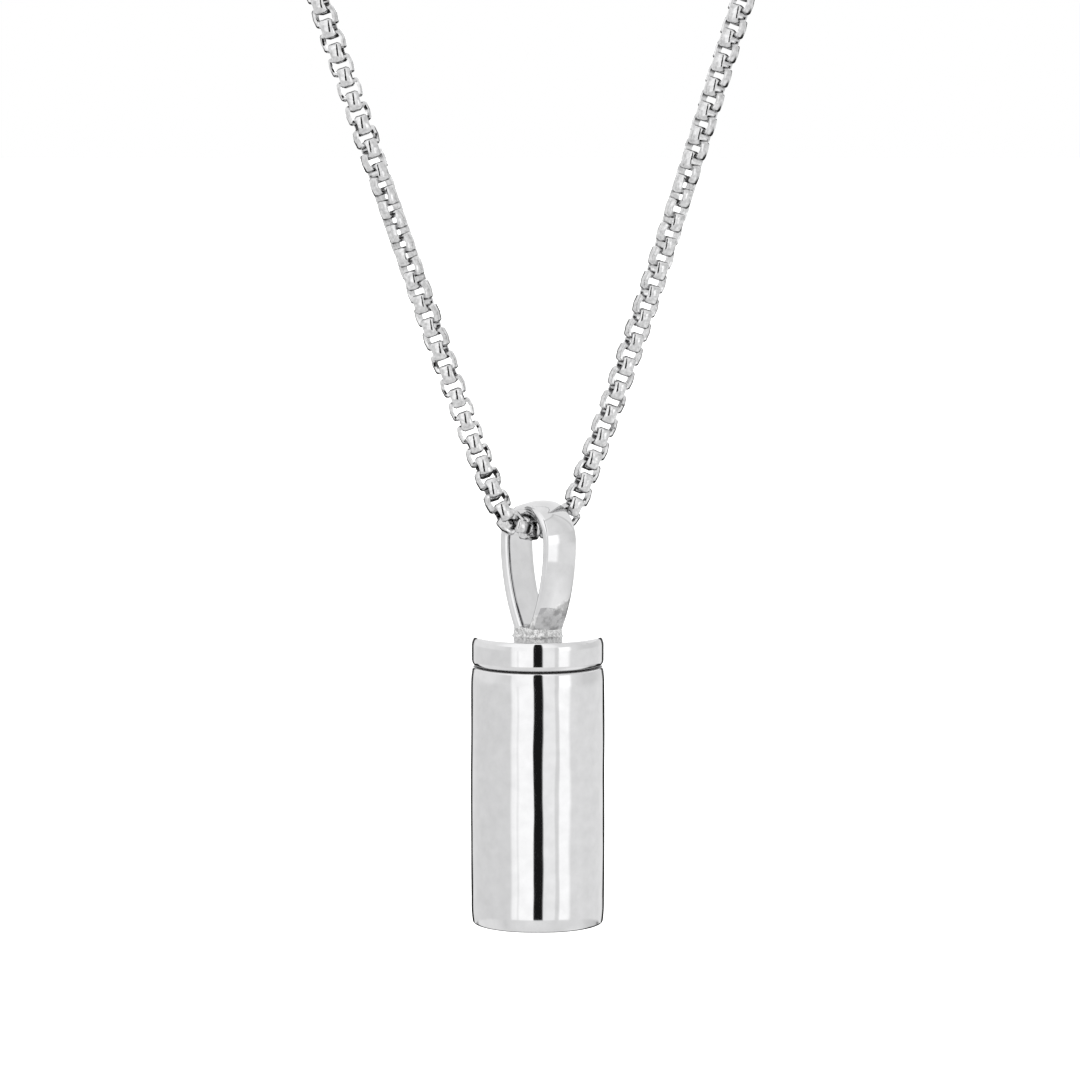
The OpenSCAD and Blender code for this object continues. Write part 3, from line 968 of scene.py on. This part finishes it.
class PENDANT_OT_chain(Operator):
    """Links the rounded box chain along its route, each link a quarter turn from the last"""
    bl_idname = "pendant.chain"
    bl_label = "Box chain"

    def execute(self, context):
        scene = context.scene
        joints = link_joints(scene.pendant_chain, scene.pendant_clasp)
        centres = (joints[1:] + joints[:-1]) / 2
        along = unit(joints[1:] - joints[:-1])
        face, cross = side_directions(centres, along)
        place = np.arange(len(centres))[:, None]
        lateral = np.where(place % 2 == 1, face, cross)
        shape, quads = link_shape(scene.pendant_chain)
        axes = np.stack([along, lateral, np.cross(along, lateral)], 1)
        verts = centres[:, None] + shape[None] @ axes
        faces = quads[None] + place[..., None] * len(shape)
        links = build_mesh("box_chain", verts.reshape(-1, 3), faces, sharp=42)
        steel = polished_steel("chain_steel", scene.pendant_finish.chain_steel, 0.05, 5000, 0.012 * MM,
                               smudge=0.04, tone_scale=3500, tone_low=0.8)
        finish_piece(links, steel, "necklace", "chain")
        return {"FINISHED"}


def tapered_loop(angle, wide, narrow):
    """Outline round two circles, given as centre and radius: the point that lies furthest along each
    direction."""
    normal = np.stack([np.cos(angle), np.sin(angle)], -1)
    reach = [circle[0] * normal[..., 0] + circle[1] for circle in (wide, narrow)]
    first = (reach[0] >= reach[1])[..., None]
    return np.where(first, normal * wide[1] + [wide[0], 0], normal * narrow[1] + [narrow[0], 0])


def claw(clasp):
    """The claw's band between its outer and inner outlines, with a blunt oval section."""
    half, length, band, bight = clasp.claw_width / 2, clasp.claw_length, clasp.claw_band, clasp.claw_bight
    narrow = clasp.claw_width / 3.6
    angle, around = full_turn(128), full_turn(20)
    outer = tapered_loop(angle, (-length / 2 + half, half), (length / 2 - narrow, narrow))
    inner = tapered_loop(angle, (-length / 2 + half, half - band), (length * 0.12 - bight, bight))
    middle, reach = (outer + inner) / 2, (outer - inner) / 2
    out, up = blunt(around, 2 / 3.2)
    plane = middle[:, None] + reach[:, None] * out[None, :, None]
    depth = np.broadcast_to(up * clasp.claw_thickness / 2, plane.shape[:2])
    verts = np.stack([plane[..., 0], depth, plane[..., 1]], -1)
    return verts.reshape(-1, 3), grid_quads(len(angle), len(around), wrap_rows=True)


def clasp_ring(clasp, place, axis):
    """A ring of round wire about an axis through a place along X."""
    major, minor = clasp.ring_radius + clasp.ring_wire / 2, clasp.ring_wire / 2
    turn, wire = np.meshgrid(full_turn(48), full_turn(14), indexing="ij")
    reach = major + minor * np.cos(wire)
    first, second, lift = reach * np.cos(turn), reach * np.sin(turn), minor * np.sin(wire)
    verts = np.stack([first, second, lift] if axis == "Z" else [first, -lift, second], -1)
    quads = grid_quads(*turn.shape, wrap_rows=True)
    return (verts + [place, 0, 0]).reshape(-1, 3), quads[:, ::-1]


class PENDANT_OT_clasp(Operator):
    """Shapes the plain clasp at the nape: a claw with a ring at each end"""
    bl_idname = "pendant.clasp"
    bl_label = "Clasp"

    def execute(self, context):
        clasp, finish = context.scene.pendant_clasp, context.scene.pendant_finish
        left, right = clasp_ends(clasp)
        verts, quads, start = [], [], 0
        for points, faces in (claw(clasp), clasp_ring(clasp, left, "Z"), clasp_ring(clasp, right, "Y")):
            verts.append(points)
            quads.append(faces + start)
            start += len(points)
        obj = build_mesh("nape_clasp", np.concatenate(verts), np.concatenate(quads), sharp=60)
        steel = polished_steel("clasp_steel", finish.chain_steel, 0.07, 900, 0.002 * MM, smudge=0.05)
        finish_piece(obj, steel, "necklace", "clasp")
        return {"FINISHED"}


class PENDANT_PT_panel(Panel):
    """A box for each operator with its own sizes, and one for the finish"""
    bl_label = "Keepsake urn pendant"
    bl_idname = "PENDANT_PT_panel"
    bl_space_type = "VIEW_3D"
    bl_region_type = "UI"
    bl_category = "Pendant"

    def draw(self, context):
        for operator, group in PARTS:
            box = self.layout.box()
            box.operator(operator.bl_idname)
            self.show(box, getattr(context.scene, group))
        self.show(self.layout.box(), context.scene.pendant_finish)

    def show(self, box, settings):
        for name in settings.__annotations__:
            box.prop(settings, name)


SETTINGS = {
    "pendant_studio": StudioSizes,
    "pendant_chamber": ChamberSizes,
    "pendant_cap": CapSizes,
    "pendant_bail": BailSizes,
    "pendant_chain": ChainSizes,
    "pendant_clasp": ClaspSizes,
    "pendant_finish": Finish,
}
PARTS = (
    (PENDANT_OT_stage, "pendant_studio"),
    (PENDANT_OT_chamber, "pendant_chamber"),
    (PENDANT_OT_cap, "pendant_cap"),
    (PENDANT_OT_bail, "pendant_bail"),
    (PENDANT_OT_chain, "pendant_chain"),
    (PENDANT_OT_clasp, "pendant_clasp"),
)


def register():
    for group in SETTINGS.values():
        bpy.utils.register_class(group)
    for name, group in SETTINGS.items():
        setattr(bpy.types.Scene, name, PointerProperty(type=group))
    for operator, _ in PARTS:
        bpy.utils.register_class(operator)
    bpy.utils.register_class(PENDANT_PT_panel)


def unregister():
    bpy.utils.unregister_class(PENDANT_PT_panel)
    for operator, _ in reversed(PARTS):
        bpy.utils.unregister_class(operator)
    for name, group in reversed(SETTINGS.items()):
        delattr(bpy.types.Scene, name)
        bpy.utils.unregister_class(group)


def main():
    """Builds the stage and every piece."""
    register()
    bpy.ops.pendant.stage()
    bpy.ops.pendant.chamber()
    bpy.ops.pendant.cap()
    bpy.ops.pendant.bail()
    bpy.ops.pendant.chain()
    bpy.ops.pendant.clasp()


if __name__ == "__main__":
    main()
